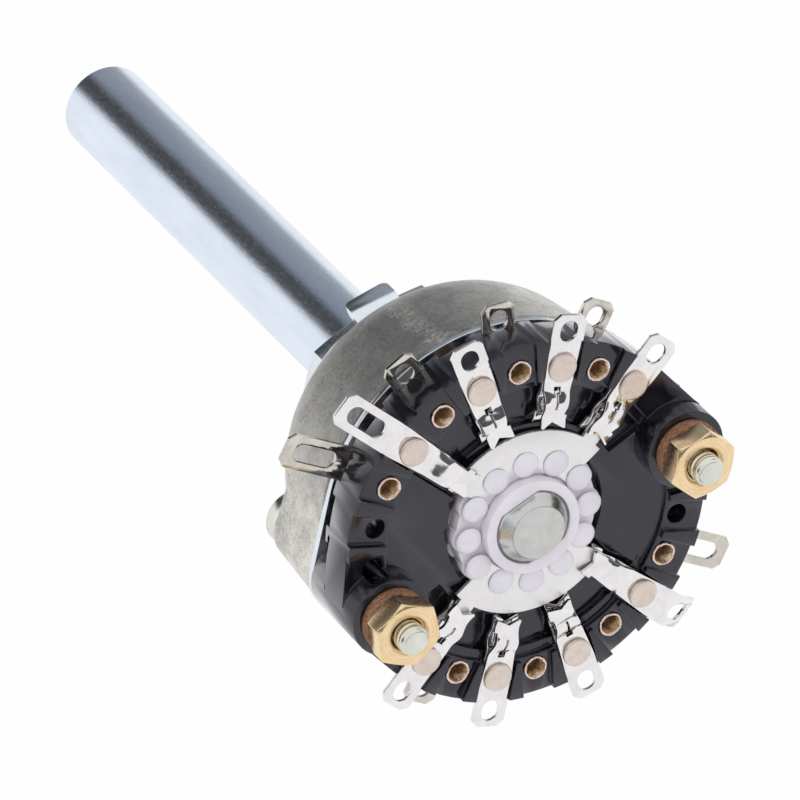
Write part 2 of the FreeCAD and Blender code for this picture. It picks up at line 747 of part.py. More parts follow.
def fibre_washer():
    hole = cylinder(SCREW_D / 2 + SCREW_CLEAR, Z_BOSS - 1, Z_BOSS + 2, STUD_R)
    return cylinder(FIBRE_D / 2, Z_BOSS, Z_BOSS + FIBRE_THICK, STUD_R).cut(hole)


def brass_nut(side):
    """Nut on one stud; each stopped where it came tight."""
    low = Z_BOSS + FIBRE_THICK
    high = low + BRASS_HEIGHT
    body = hexagon(BRASS_FLATS, low, high, BRASS_CORNER[side])
    body = body.common(corner_trim(BRASS_FLATS, BRASS_FACE_D, low, high, True))
    body = body.cut(cylinder(SCREW_D / 2 + THREAD_CLEAR, low - 1, high + 1))
    body.translate(polar(STUD_R, side))
    return body


def at_both_studs(shape):
    return Part.makeCompound([shape, turned(shape, 180)])


def all_nodes():
    nodes = {
        "housing": housing(),
        "rear_plate": rear_plate(),
        "shaft": shaft(),
        "index_carrier": index_carrier(),
        "locating_washer": locating_washer(),
        "panel_nut": panel_nut(),
        "wafer": wafer(),
        "rotor": rotor(),
        "clip_rivets": clip_rivets(),
        "assembly_screws": at_both_studs(assembly_screw()),
        "fibre_washers": at_both_studs(fibre_washer()),
        "brass_nuts": Part.makeCompound([brass_nut(side) for side in BRASS_CORNER]),
    }
    for name, angle in ball_angles().items():
        nodes["detent_ball_" + name] = detent_ball(angle)
        nodes["detent_spring_" + name] = detent_spring(angle)
    for pole in POLES:
        nodes["ring_" + pole] = ring_segment(pole)
    nodes.update(contact_clips())
    return nodes


def save_all():
    os.makedirs("parts", exist_ok=True)
    for name, shape in all_nodes().items():
        placed = shape.copy()
        placed.rotate(ORIGIN, vec(1, 0, 0), -90)
        placed.exportStep("parts/%s.step" % name)


save_all()
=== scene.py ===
import bmesh
import bpy
import math
from mathutils import Matrix, Vector


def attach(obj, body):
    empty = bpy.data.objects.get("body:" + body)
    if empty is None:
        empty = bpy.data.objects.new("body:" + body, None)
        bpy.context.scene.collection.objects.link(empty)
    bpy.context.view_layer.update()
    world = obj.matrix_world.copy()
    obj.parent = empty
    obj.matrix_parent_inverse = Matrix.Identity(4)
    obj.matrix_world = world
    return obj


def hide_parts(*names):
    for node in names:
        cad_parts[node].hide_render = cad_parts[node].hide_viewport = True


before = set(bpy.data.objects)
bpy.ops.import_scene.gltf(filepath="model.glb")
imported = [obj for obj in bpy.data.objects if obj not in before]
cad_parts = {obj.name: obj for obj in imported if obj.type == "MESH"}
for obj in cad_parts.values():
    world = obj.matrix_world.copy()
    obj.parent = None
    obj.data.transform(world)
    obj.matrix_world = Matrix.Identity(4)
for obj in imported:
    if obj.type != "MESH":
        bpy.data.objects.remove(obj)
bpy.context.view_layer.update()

MM = 0.001
WELD = 0.001 * MM

# Sizes of the solids, in millimetres; heights are along the shaft, from the front end of its bush

REAR_LAND = 19.85
FRONT_LAND = 17.35
STRIP = 0.25
STATION_CIRCLE = 10.64
STATION_STEP = 15.0
NUT_TOP = 23.9
NUT_HOLE = 1.05
STUD_END = 24.85
STAKE_TOP = 20.17
SHAFT_END = 20.97
SHAFT_CHAMFER = 0.4
SCREW_SEAT = 8.85
SCREW_RADIUS = 1.0
SCREW_PITCH = 0.4
HEAD_HEIGHT = 1.3
SLOT_WIDTH = 0.5
SLOT_DEPTH = 0.6
BUSH_RADIUS = 5.0
BUSH_PITCH = 0.75
BUSH_FREE = 2.0

# How far off a level, the shaft's end or a radius a point still counts as on it, in millimetres, and
# how far, in degrees, a plane's triangles may lean

LEVEL_SLACK = 0.01
END_SLACK = 0.02
RADIUS_SLACK = 0.03
FLAT_ANGLE = 0.3

# Forms that the scene adds: lengths in millimetres, the spread a ratio, cuts and sides so many

STAKE_EDGE = 20.03
STAKE_DOME = 0.2
STAKE_SPREAD = 1.13
END_RISE = 0.45
END_DISC = 1.78
COUNTERSINK = 0.28
THREAD_START = 20.5
THREAD_END = STUD_END - 0.4
THREAD_STEP = 0.04
SCREW_THREAD_DEPTH = 0.08
BUSH_THREAD_DEPTH = 0.4
BUSH_CUTS = 40
LIP_SHAKE = 0.13
RIVET_SIDES = 40
SCREW_SIDES = 48

# Widths of the softened edges, in millimetres

EDGE = {
    "rotor": 0.06, "clip": 0.03, "ring": 0.04, "casting": 0.1, "brass_nuts": 0.03, "rear_plate": 0.03,
    "locating_washer": 0.03, "panel_nut": 0.06, "wafer": 0.05, "fibre_washers": 0.06,
}


# Node trees, written as sums on sockets

class Signal:
    """One output socket, which can stand in a sum."""

    def __init__(self, graph, socket):
        self.graph = graph
        self.socket = socket

    def out(self, name):
        return Signal(self.graph, self.socket.node.outputs[name])

    def _sum(self, operation, left, right):
        return self.graph.add("ShaderNodeMath", {"operation": operation}, {0: left, 1: right})

    def __add__(self, other):
        return self._sum("ADD", self, other)

    def __radd__(self, other):
        return self._sum("ADD", other, self)

    def __sub__(self, other):
        return self._sum("SUBTRACT", self, other)

    def __rsub__(self, other):
        return self._sum("SUBTRACT", other, self)

    def __mul__(self, other):
        return self._sum("MULTIPLY", self, other)

    def __rmul__(self, other):
        return self._sum("MULTIPLY", other, self)

    def __truediv__(self, other):
        return self._sum("DIVIDE", self, other)

    def __gt__(self, other):
        return self._sum("GREATER_THAN", self, other)

    def __lt__(self, other):
        return self._sum("LESS_THAN", self, other)

    def most(self, other):
        return self._sum("MAXIMUM", self, other)

    def least(self, other):
        return self._sum("MINIMUM", self, other)

    def size(self):
        return self.graph.add("ShaderNodeMath", {"operation": "ABSOLUTE"}, {0: self})

    def root(self):
        return self.graph.add("ShaderNodeMath", {"operation": "SQRT"}, {0: self})


class Graph:
    """A node tree being built."""

    def __init__(self, tree):
        self.tree = tree
        tree.nodes.clear()

    def add(self, kind, settings=None, inputs=None, output=0):
        """New node: its type, its settings, then the values or links of its sockets."""
        node = self.tree.nodes.new(kind)
        for name, value in (settings or {}).items():
            if name == "stops":
                self._ramp(node, value)
            else:
                setattr(node, name, value)
        for name, value in (inputs or {}).items():
            socket = node.inputs[name]
            if isinstance(value, Signal):
                self.tree.links.new(value.socket, socket)
            else:
                socket.default_value = value
        return Signal(self, node.outputs[output]) if node.outputs else node

    @staticmethod
    def _ramp(node, stops):
        elements = node.color_ramp.elements
        while len(elements) > 1:
            elements.remove(elements[-1])
        for i, (at, colour) in enumerate(stops):
            element = elements[0] if i == 0 else elements.new(at)
            element.position = at
            element.color = rgba(colour)


def rgba(colour):
    """Linear colour with alpha, from one grey level or three parts."""
    if isinstance(colour, (int, float)):
        colour = (colour,) * 3
    return (*colour, 1.0)


def srgb(*parts):
    """Linear colour from the 0 to 255 values of a screen colour."""
    return tuple((v / 255 / 12.92) if v <= 10.31 else ((v / 255 + 0.055) / 1.055) ** 2.4 for v in parts)


# Patterns

def place(g, stretch=(1, 1, 1)):
    """Object coordinates in millimetres, stretched along the axes."""
    where = g.add("ShaderNodeTexCoord", output="Object")
    return g.add("ShaderNodeMapping", inputs={"Vector": where, "Scale": [s / MM for s in stretch]})


def cloud(g, where, per_mm, detail=3.0, rough=0.5, warp=0.0):
    """Noise with so many blobs to the millimetre."""
    return g.add("ShaderNodeTexNoise", inputs={
        "Vector": where, "Scale": per_mm, "Detail": detail, "Roughness": rough, "Distortion": warp})


def ramp(g, value, stops):
    """Colour of a value, from (value, colour) stops."""
    return g.add("ShaderNodeValToRGB", {"stops": stops}, {"Fac": value})


def spread(g, value, low, high, start=0.0, end=1.0):
    """A value's stretch from low to high, laid over start to end."""
    return g.add("ShaderNodeMapRange", inputs={
        "Value": value, "From Min": low, "From Max": high, "To Min": start, "To Max": end})


def blend_colour(g, share, first, second, mode="MIX"):
    """Two colours mixed by a share, from 0 for the first to 1 for the second."""
    first, second = (c if isinstance(c, Signal) else rgba(c) for c in (first, second))
    return g.add("ShaderNodeMix", {"data_type": "RGBA", "blend_type": mode}, {
        0: share, 6: first, 7: second}, output=2)


def relief(g, height, depth, strength=1.0, under=None):
    """Normal of a height pattern, its depth in millimetres."""
    inputs = {"Height": height, "Distance": depth * MM, "Strength": strength}
    if under is not None:
        inputs["Normal"] = under
    return g.add("ShaderNodeBump", inputs=inputs)


def finish(name, build):
    """Material made by a function that returns the Principled shader's sockets."""
    material = bpy.data.materials.new(name)
    material.use_nodes = True
    g = Graph(material.node_tree)
    shader = g.add("ShaderNodeBsdfPrincipled", inputs=build(g))
    g.add("ShaderNodeOutputMaterial", inputs={"Surface": shader})
    return material


# Finishes

def turned_bright(g, where, base_stops, rough, grain=5.0, depth=0.006):
    """Bright plated metal with a stain, a grain and its roughness range."""
    stain = cloud(g, where, 0.5, 4, 0.6)
    speck = cloud(g, where, grain, 5, 0.7)
    return {"Base Color": ramp(g, stain, base_stops), "Metallic": 1.0,
            "Roughness": spread(g, speck, 0.3, 0.75, *rough), "Normal": relief(g, speck, depth, 0.5)}


def bright_zinc(g):
    return turned_bright(g, place(g), [(0.3, srgb(218, 225, 234)), (0.7, srgb(232, 238, 244))], (0.16, 0.3))


def passivated_zinc(g):
    return turned_bright(g, place(g), [(0.3, srgb(210, 210, 198)), (0.7, srgb(228, 230, 224))], (0.16, 0.3))


def shaft_zinc(g):
    """Bluish bright plating, its rear cone greyed by a painted dark reflection, dull and blotched on the
    rear end.
    """
    stops = [(0.3, srgb(218, 227, 242)), (0.7, srgb(230, 238, 250))]
    plated = turned_bright(g, place(g, (1, 0.3, 1)), stops, (0.18, 0.3), 6.0, 0.014)
    where = place(g)
    along = g.add("ShaderNodeSeparateXYZ", inputs={0: where}).out("Y")
    tip = SHAFT_END + END_RISE
    end = spread(g, along, tip - 0.05, tip - 0.01)
    foot = SHAFT_END - SHAFT_CHAMFER
    # Painted shade: the rear cone is blended below to a duller grey, standing in for the dark it mirrors
    cone = spread(g, along, foot - 0.1, foot)
    patch = cloud(g, where, 0.8, 6, 0.75)
    dull = ramp(g, patch, [
        (0.35, srgb(214, 213, 206)), (0.5, srgb(222, 223, 220)), (0.65, srgb(228, 228, 230))])
    grit = relief(g, cloud(g, where, 6.0, 4, 0.7) * end, 0.06, 0.8, plated["Normal"])
    side = blend_colour(g, cone, plated["Base Color"], srgb(198, 200, 200))
    return {"Base Color": blend_colour(g, end, side, dull), "Metallic": 1.0,
            "Roughness": plated["Roughness"] + end * 0.2, "Normal": grit}


def off_screw(g):
    """Distance from the nearer screw's axis, in millimetres."""
    spot = g.add("ShaderNodeSeparateXYZ", inputs={0: place(g)})
    across = spot.out("X").size() - STATION_CIRCLE
    return (across * across + spot.out("Z") * spot.out("Z")).root()


def raw_casting(g):
    """Grey cast skin with painted shade darkening its upper side, and a band of lumps along the mould's
    parting.
    """
    where = place(g)
    blotch = cloud(g, where, 0.55, 5, 0.65, 0.6)
    grain = cloud(g, where, 4.5, 6, 0.75)
    pits = cloud(g, where, 11.0, 4, 0.8)
    flow = cloud(g, place(g, (1, 0.25, 1)), 1.2, 4, 0.6)
    spot = g.add("ShaderNodeSeparateXYZ", inputs={0: where})
    wander = cloud(g, where, 0.9, 4, 0.7)
    seam = spread(g, (spot.out("X") + (wander - 0.5) * 1.6).size(), 0.25, 0.75, 1.0, 0.0)
    tone = blotch * 0.3 + grain * 0.42 + flow * 0.1 + pits * 0.18
    base = ramp(g, tone, [
        (0.38, srgb(158, 156, 152)), (0.5, srgb(214, 211, 205)), (0.6, srgb(246, 242, 236))])
    fleck = spread(g, pits + seam * 0.12, 0.6, 0.68)
    colour = blend_colour(g, fleck, base, srgb(250, 248, 242))
    # Painted shade: the colour is multiplied darker towards the upper side
    upper = spread(g, spot.out("X") * 0.26 + spot.out("Z") * 0.97, 6.0, 11.5)
    colour = blend_colour(g, upper, colour, (0.37, 0.38, 0.39), "MULTIPLY")
    lump = spread(g, cloud(g, where, 3.5, 5, 0.7), 0.48, 0.6)
    colour = blend_colour(g, seam * lump * 0.7, colour, srgb(214, 210, 200))
    rough = spread(g, grain, 0.3, 0.7, 0.26, 0.42)
    fine = relief(g, grain + pits * 0.4, 0.08, 0.8)
    scar = relief(g, seam * cloud(g, where, 2.2, 4, 0.6), 0.16, 0.9, fine)
    return {"Base Color": colour, "Metallic": 1.0, "Roughness": rough,
            "Normal": relief(g, blotch, 0.12, 0.5, scar)}


def silver_sheet(g, dim, bright):
    """Thin plated strip: bright, a little wavy and smeared."""
    where = place(g)
    smear = cloud(g, where, 0.9, 4, 0.6, 0.8)
    fine = cloud(g, where, 9.0, 3, 0.6)
    wave = relief(g, cloud(g, where, 0.3, 2, 0.4), 0.25, 0.6)
    rough = spread(g, smear + fine * 0.3, 0.4, 0.9, 0.06, 0.16)
    return {"Base Color": ramp(g, smear, [(0.3, dim), (0.7, bright)]), "Metallic": 1.0, "Roughness": rough,
            "Normal": relief(g, smear, 0.03, 0.35, wave)}


def silver_plate(g):
    return silver_sheet(g, srgb(226, 223, 224), srgb(241, 239, 239))


# Silver plate darkened as painted shade, for the clips on the wafer's front face
def painted_shade_silver(g):
    return silver_sheet(g, srgb(188, 184, 175), srgb(222, 216, 208))


def wiped_silver(g):
    """Plated ring, matt from the wiping of the contacts."""
    where = place(g)
    smear = cloud(g, where, 1.1, 4, 0.6)
    fine = cloud(g, where, 12.0, 3, 0.6)
    base = ramp(g, smear, [(0.3, srgb(234, 232, 233)), (0.7, srgb(243, 241, 241))])
    rough = spread(g, smear + fine * 0.4, 0.4, 1.0, 0.28, 0.4)
    return {"Base Color": base, "Metallic": 0.9, "Roughness": rough, "Normal": relief(g, fine, 0.004, 0.4)}


def black_moulding(g):
    """Glossy black moulding, its gloss strongest at a slant."""
    where = place(g)
    haze = cloud(g, where, 0.7, 4, 0.6)
    fine = cloud(g, where, 10.0, 3, 0.6)
    base = ramp(g, haze, [(0.3, srgb(14, 13, 18)), (0.7, srgb(26, 25, 32))])
    rough = spread(g, haze + fine * 0.25, 0.4, 0.9, 0.1, 0.2)
    wave = relief(g, cloud(g, where, 0.3, 2, 0.4), 0.12, 0.5)
    skin = g.add("ShaderNodeLayerWeight", output="Facing")
    return {"Base Color": base, "Roughness": rough, "IOR": 1.64, "Specular Tint": rgba((0.9, 0.89, 1.0)),
            "Coat Weight": spread(g, skin, 0.3, 0.6), "Coat Tint": rgba((0.95, 0.95, 1.0)),
            "Normal": relief(g, fine + haze * 0.6, 0.006, 0.3, wave)}


def white_moulding(g):
    where = place(g)
    haze = cloud(g, where, 0.6, 3, 0.5)
    base = ramp(g, haze, [(0.3, srgb(226, 221, 231)), (0.7, srgb(236, 232, 240))])
    rough = spread(g, haze, 0.3, 0.7, 0.28, 0.4)
    return {"Base Color": base, "Roughness": rough, "Subsurface Weight": 0.15, "Subsurface Scale": 0.0006,
            "Normal": relief(g, haze, 0.02, 0.3)}


def rivet_copper(g):
    """Pinkish alloy: satin on the head, bright on the rolled lip, brown in the bore."""
    where = place(g)
    haze = cloud(g, where, 1.6, 4, 0.6)
    fine = cloud(g, where, 14.0, 4, 0.7)
    head = ramp(g, haze * 0.6 + fine * 0.4, [(0.35, srgb(218, 202, 192)), (0.65, srgb(236, 224, 214))])
    lip = ramp(g, fine, [
        (0.38, srgb(206, 160, 142)), (0.5, srgb(240, 212, 200)), (0.62, srgb(255, 246, 242))])
    bore = ramp(g, fine, [(0.3, srgb(168, 146, 120)), (0.7, srgb(222, 202, 178))])
    part = g.add("ShaderNodeAttribute", {"attribute_name": "part"}, output="Fac")
    colour = blend_colour(g, spread(g, part, 0.4, 0.6), head, lip)
    colour = blend_colour(g, spread(g, part, 1.3, 1.6), colour, bore)
    rough = spread(g, fine, 0.3, 0.7, 0.3, 0.45) - spread(g, part, 0.4, 0.6, 0.0, 0.14)
    return {"Base Color": colour, "Metallic": 0.9, "Roughness": rough, "Normal": relief(g, fine, 0.01, 0.5)}


def turned_brass(g):
    """Brass with turning marks round the screw."""
    where = place(g)
    haze = cloud(g, where, 1.2, 4, 0.6)
    fine = cloud(g, where, 9.0, 4, 0.6)
    rings = g.add("ShaderNodeTexNoise", {"noise_dimensions": "1D"}, {
        "W": off_screw(g), "Scale": 9.0, "Detail": 3.0})
    base = ramp(g, haze * 0.6 + rings * 0.4, [(0.3, srgb(234, 200, 150)), (0.7, srgb(252, 228, 190))])
    rough = spread(g, fine, 0.3, 0.7, 0.2, 0.3)
    marks = relief(g, rings, 0.006, 0.5)
    return {"Base Color": base, "Metallic": 1.0, "Roughness": rough,
            "Normal": relief(g, fine, 0.002, 0.4, marks)}


def pressed_fibre(g):
    where = place(g, (1, 2.5, 1))
    strand = cloud(g, where, 3.5, 6, 0.8)
    chip = cloud(g, where, 9.0, 3, 0.8)
    base = ramp(g, strand * 0.6 + chip * 0.4, [
        (0.38, srgb(84, 52, 34)), (0.5, srgb(150, 104, 76)), (0.62, srgb(206, 168, 132))])
    return {"Base Color": base, "Roughness": 0.75, "Normal": relief(g, strand + chip * 0.5, 0.12, 0.9)}


def spring_wire(g):
    fine = cloud(g, place(g), 8.0, 3, 0.6)
    base = ramp(g, fine, [(0.3, srgb(178, 178, 180)), (0.7, srgb(206, 206, 208))])
    return {"Base Color": base, "Metallic": 1.0, "Roughness": 0.28}


def dark_carrier(g):
    haze = cloud(g, place(g), 1.0, 3, 0.6)
    base = ramp(g, haze, [(0.3, srgb(66, 66, 68)), (0.7, srgb(84, 84, 86))])
    return {"Base Color": base, "Roughness": 0.45}


# Finishes under the names of the record's slots, and four more that some pieces have instead of their
# slot's own; the detent balls have the springs' one

FINISHES = {
    "zinc_plate": finish("bright_zinc", bright_zinc),
    "shaft": finish("shaft_zinc", shaft_zinc),
    "screw": finish("passivated_zinc", passivated_zinc),
    "zinc_casting": finish("raw_casting", raw_casting),
    "silver_contact": finish("silver_plate", silver_plate),
    "ring": finish("wiped_silver", wiped_silver),
    "front_contact": finish("painted_shade_silver", painted_shade_silver),
    "black_moulding": finish("black_moulding", black_moulding),
    "white_moulding": finish("white_moulding", white_moulding),
    "rivet_brass": finish("rivet_copper", rivet_copper),
    "nut_brass": finish("turned_brass", turned_brass),
    "brown_fibre": finish("pressed_fibre", pressed_fibre),
    "spring_steel": finish("spring_wire", spring_wire),
    "carrier_moulding": finish("dark_carrier", dark_carrier),
}


# Meshes

def new_object(name, mesh):
    piece = bpy.data.objects.new(name, mesh)
    bpy.context.scene.collection.objects.link(piece)
    return piece


def baked(piece, name):
    """Plain object in place of one with modifiers."""
    graph = bpy.context.evaluated_depsgraph_get()
    mesh = bpy.data.meshes.new_from_object(piece.evaluated_get(graph))
    bpy.data.objects.remove(piece)
    mesh.name = name
    mesh.materials.clear()
    return new_object(name, mesh)


def plain_mesh(form, name):
    """Mesh of a form being built, which is then done with."""
    mesh = bpy.data.meshes.new(name)
    form.to_mesh(mesh)
    form.free()
    return mesh


def raw_object(form, name):
    """Object of a form, shaded smooth."""
    mesh = plain_mesh(form, name)
    mesh.shade_smooth()
    return new_object(name + "_raw", mesh)


def welded_copy(node):
    """Copy of a solid's mesh with its points joined."""
    form = bmesh.new()
    form.from_mesh(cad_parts[node].data)
    bmesh.ops.remove_doubles(form, verts=form.verts, dist=WELD)
    return form


def whole_faces(form):
    """Makes one face of the triangles that lie in one plane."""
    bmesh.ops.dissolve_limit(form, angle_limit=math.radians(FLAT_ANGLE), verts=form.verts, edges=form.edges)
    return form


def merged_copy(node):
    return whole_faces(welded_copy(node))


def cut_across(form, point, normal):
    """Cuts every face that a plane crosses."""
    everything = form.verts[:] + form.edges[:] + form.faces[:]
    bmesh.ops.bisect_plane(form, geom=everything, dist=WELD, plane_co=point, plane_no=normal)


def round_edges(raw, width, segments=2, sharp=33.0):
    """Bevel on the sharp edges, its width in millimetres."""
    edge = raw.modifiers.new("edges", "BEVEL")
    edge.width = width * MM
    edge.segments = segments
    edge.limit_method = "ANGLE"
    edge.angle_limit = math.radians(sharp)
    edge.use_clamp_overlap = False
    edge.harden_normals = True
    return raw


def settle(piece, body, slot, material, *nodes):
    """Gives a finished piece its material and body, and hides the nodes it stands for. The slot is not
    used.
    """
    piece.data.materials.clear()
    piece.data.materials.append(material)
    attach(piece, body)
    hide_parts(*nodes)
    return piece


def dressed(node, slot, width, body="body", material=None, form=None, **edges):
    """A solid's own shape, or a form made from it, with softened edges."""
    raw = round_edges(raw_object(form or merged_copy(node), node), width, **edges)
    return settle(baked(raw, node + "_dressed"), body, slot, material or FINISHES[slot], node)


# Geometry trees: a thread's phase is kept above nought by whole turns, its flanks are this steep, and
# its ends fade out over this share of a pitch; a rivet's head has this share of the unevenness given

WHOLE_TURNS = 100.0
FLANK = 2.6
FADE = 0.25
HEAD_SHARE = 0.3


class Recipe(Graph):
    """Geometry tree with named inputs, for what repeats."""

    def __init__(self, name, **kinds):
        super().__init__(bpy.data.node_groups.new(name, "GeometryNodeTree"))
        faces = self.tree.interface
        faces.new_socket("Form", in_out="INPUT", socket_type="NodeSocketGeometry")
        faces.new_socket("Form", in_out="OUTPUT", socket_type="NodeSocketGeometry")
        for title, kind in kinds.items():
            faces.new_socket(title, in_out="INPUT", socket_type="NodeSocket" + kind)
        faces.new_socket("Finish", in_out="INPUT", socket_type="NodeSocketMaterial")
        self.given = self.add("NodeGroupInput")

    def close(self, form):
        """Realised and finished result."""
        whole = self.add("GeometryNodeRealizeInstances", inputs={0: form})
        whole = self.add("GeometryNodeSetMaterial", inputs={
            "Geometry": whole, "Material": self.given.out("Finish")})
        self.add("NodeGroupOutput", inputs={0: whole})
        return self.tree


def apply_recipe(raw, tree, values):
    """Puts a tree on an object, its inputs set by their identifiers."""
    step = raw.modifiers.new(tree.name, "NODES")
    step.node_group = tree
    for item in tree.interface.items_tree:
        if item.in_out == "INPUT" and item.name in values:
            step[item.identifier] = values[item.name]
    return raw


def thread_recipe():
    """Cuts a single-start thread into the wall of a turned form, about an axis along Y."""
    g = Recipe("cut_thread", Pitch="Float", Depth="Float", Radius="Float", From="Float", To="Float")
    spot = g.add("ShaderNodeSeparateXYZ", inputs={0: g.add("GeometryNodeInputPosition")})
    x, y, z = spot.out("X"), spot.out("Y"), spot.out("Z")
    radius = (x * x + z * z).root()
    turn = g.add("ShaderNodeMath", {"operation": "ARCTAN2"}, {0: z, 1: x}) / (2 * math.pi)
    phase = g.add("ShaderNodeMath", {"operation": "FRACT"}, {
        0: y / g.given.out("Pitch") + turn + WHOLE_TURNS})
    groove = 1.0 - ((phase - 0.5).size() * FLANK).least(1.0)
    fade = FADE * g.given.out("Pitch")
    run_in = ((y - g.given.out("From")) / fade).least(1.0).most(0.0)
    run_out = ((g.given.out("To") - y) / fade).least(1.0).most(0.0)
    wall = (radius - g.given.out("Radius")).size() < RADIUS_SLACK * MM
    cut = groove * run_in * run_out * wall * g.given.out("Depth") / radius.most(0.1 * MM)
    shift = g.add("ShaderNodeCombineXYZ", inputs={"X": x * cut * -1.0, "Z": z * cut * -1.0})
    moved = g.add("GeometryNodeSetPosition", inputs={"Geometry": g.given.out("Form"), "Offset": shift})
    return g.close(moved)


def circle_recipe():
    """Stands copies of a form on the station circle, each turned at random about its own axis."""
    g = Recipe("round_the_circle", Circle="Float", Count="Int", Run="Int", First="Float", Step="Float",
               Jump="Float", Rough="Float", Seed="Int")
    index = g.add("GeometryNodeInputIndex")
    run = g.given.out("Run")
    turns = g.add("ShaderNodeMath", {"operation": "FLOOR"}, {0: index / run})
    along_run = (index - turns * run) * g.given.out("Step")
    degrees = g.given.out("First") + along_run + turns * g.given.out("Jump")
    angle = degrees * (math.pi / 180)
    across = g.add("ShaderNodeMath", {"operation": "COSINE"}, {0: angle}) * g.given.out("Circle")
    up = g.add("ShaderNodeMath", {"operation": "SINE"}, {0: angle}) * g.given.out("Circle")
    spot = g.add("ShaderNodeCombineXYZ", inputs={"X": across, "Z": up})
    places = g.add("GeometryNodePoints", inputs={"Count": g.given.out("Count"), "Position": spot})
    noise = g.add("ShaderNodeTexNoise", inputs={"Scale": 3.0 / MM, "Detail": 2.0}, output="Color")
    centred = g.add("ShaderNodeVectorMath", {"operation": "SUBTRACT"}, {0: noise, 1: (0.5, 0.5, 0.5)})
    part = g.add("GeometryNodeInputNamedAttribute", {"data_type": "FLOAT"}, {"Name": "part"})
    uneven = g.given.out("Rough") * (part + HEAD_SHARE)
    shake = g.add("ShaderNodeVectorMath", {"operation": "SCALE"}, {0: centred, "Scale": uneven})
    worked = g.add("GeometryNodeSetPosition", inputs={"Geometry": g.given.out("Form"), "Offset": shake})
    spin = g.add("FunctionNodeRandomValue", {"data_type": "FLOAT"}, {
        2: 0.0, 3: 2 * math.pi, "ID": index, "Seed": g.given.out("Seed")}, 1)
    turned = g.add("ShaderNodeCombineXYZ", inputs={"Y": spin})
    copies = g.add("GeometryNodeInstanceOnPoints", inputs={
        "Points": places, "Instance": worked, "Rotation": turned})
    return g.close(copies)


CUT_THREAD = thread_recipe()
ROUND_THE_CIRCLE = circle_recipe()


def lathe(profile, segments):
    """Form turned about Y from (radius, height, part) points, from the axis to the axis."""
    form = bmesh.new()
    part = form.verts.layers.float.new("part")
    rings = []
    for radius, height, mark in profile:
        count = segments if radius > 0 else 1
        ring = []
        for i in range(count):
            a = 2 * math.pi * i / segments
            point = form.verts.new((radius * math.cos(a) * MM, height * MM, radius * math.sin(a) * MM))
            point[part] = mark
            ring.append(point)
        rings.append(ring)
    for low, high in zip(rings, rings[1:]):
        for i in range(segments):
            j = (i + 1) % segments
            corners = [low[i % len(low)], low[j % len(low)], high[j % len(high)], high[i % len(high)]]
            form.faces.new(list(dict.fromkeys(corners)))
    bmesh.ops.recalc_face_normals(form, faces=form.faces)
    return form


# Rivets

def rivet_profile():
    """Flat head with a raised rim, shank, and a far end rolled over a tapered bore."""
    seat = REAR_LAND + STRIP
    far = FRONT_LAND
    head = [(0, 0.23), (0.62, 0.23), (0.74, 0.245), (0.84, 0.25), (0.91, 0.225), (0.945, 0.17), (0.95, 0.1),
            (0.93, 0.03), (0.88, 0.0), (0.6, 0.0)]
    tail = [(0.6, 0.0), (0.74, 0.0), (0.79, -0.03), (0.80, -0.08), (0.77, -0.13), (0.72, -0.15),
            (0.67, -0.13)]
    bore = [(0.63, -0.07), (0.57, 0.03), (0.48, 0.2), (0.39, 0.45), (0.34, 0.8), (0.32, 1.3),
            (0.2, 1.38), (0, 1.4)]
    return ([(r, seat + h, 0.0) for r, h in head] + [(r, far + h, 1.0) for r, h in tail]
            + [(r, far + h, 2.0) for r, h in bore])


def set_rivets(name, first, turned_over):
    """Eight rivets, at every second station of two runs of four from the first."""
    form = lathe(rivet_profile(), RIVET_SIDES)
    if turned_over:
        middle = (REAR_LAND + FRONT_LAND) * MM
        for point in form.verts:
            point.co.y = middle - point.co.y
            point.co.z = -point.co.z
    raw = raw_object(form, name)
    return apply_recipe(raw, ROUND_THE_CIRCLE, {
        "Circle": STATION_CIRCLE * MM, "Count": 8, "Run": 4, "First": STATION_STEP * (first + 1),
        "Step": 2 * STATION_STEP, "Jump": 180.0, "Rough": LIP_SHAKE * MM, "Seed": first,
        "Finish": FINISHES["rivet_brass"]})


def joined(objects, name):
    """One object of several plain ones."""
    form = bmesh.new()
    for piece in objects:
        form.from_mesh(piece.data)
        bpy.data.objects.remove(piece)
    mesh = plain_mesh(form, name)
    mesh.shade_smooth()
    return new_object(name, mesh)


def rivets():
    sets = [baked(set_rivets("rear_rivets", 3, False), "rear_rivets"),
            baked(set_rivets("front_rivets", 2, True), "front_rivets")]
    settle(joined(sets, "rivets"), "body", "rivet_brass", FINISHES["rivet_brass"], "clip_rivets")


# Screws

def screw_form():
    """Cheese head, plain neck, and a wall fine enough to take the thread."""
    head = [(0, -HEAD_HEIGHT), (1.72, -HEAD_HEIGHT), (1.84, 0.06 - HEAD_HEIGHT), (1.9, 0.18 - HEAD_HEIGHT),
            (1.9, -0.04), (1.86, 0.0), (SCREW_RADIUS, 0.0)]
    span = THREAD_END - THREAD_START
    steps = round(span / THREAD_STEP)
    wall = [(SCREW_RADIUS, THREAD_START + span * i / steps) for i in range(steps + 1)]
    tip = [(0.985, 0.32), (0.93, 0.24), (0.86, 0.2), (0.82, 0.15), (0.8, 0.05), (0.77, 0.01), (0.72, 0.0),
           (0, 0.0)]
    return lathe([(r, SCREW_SEAT + h, 0.0) for r, h in head] + [(r, h, 0.0) for r, h in wall]
                 + [(r, STUD_END - drop, 0.0) for r, drop in tip], SCREW_SIDES)


def slot_cutter():
    """Bar that cuts the screw's slot."""
    form = bmesh.new()
    bmesh.ops.create_cube(form, size=1.0)
    bmesh.ops.scale(form, vec=(5 * MM, 2 * SLOT_DEPTH * MM, SLOT_WIDTH * MM), verts=form.verts)
    bmesh.ops.translate(form, vec=(0, (SCREW_SEAT - HEAD_HEIGHT) * MM, 0), verts=form.verts)
    return raw_object(form, "slot_cutter")


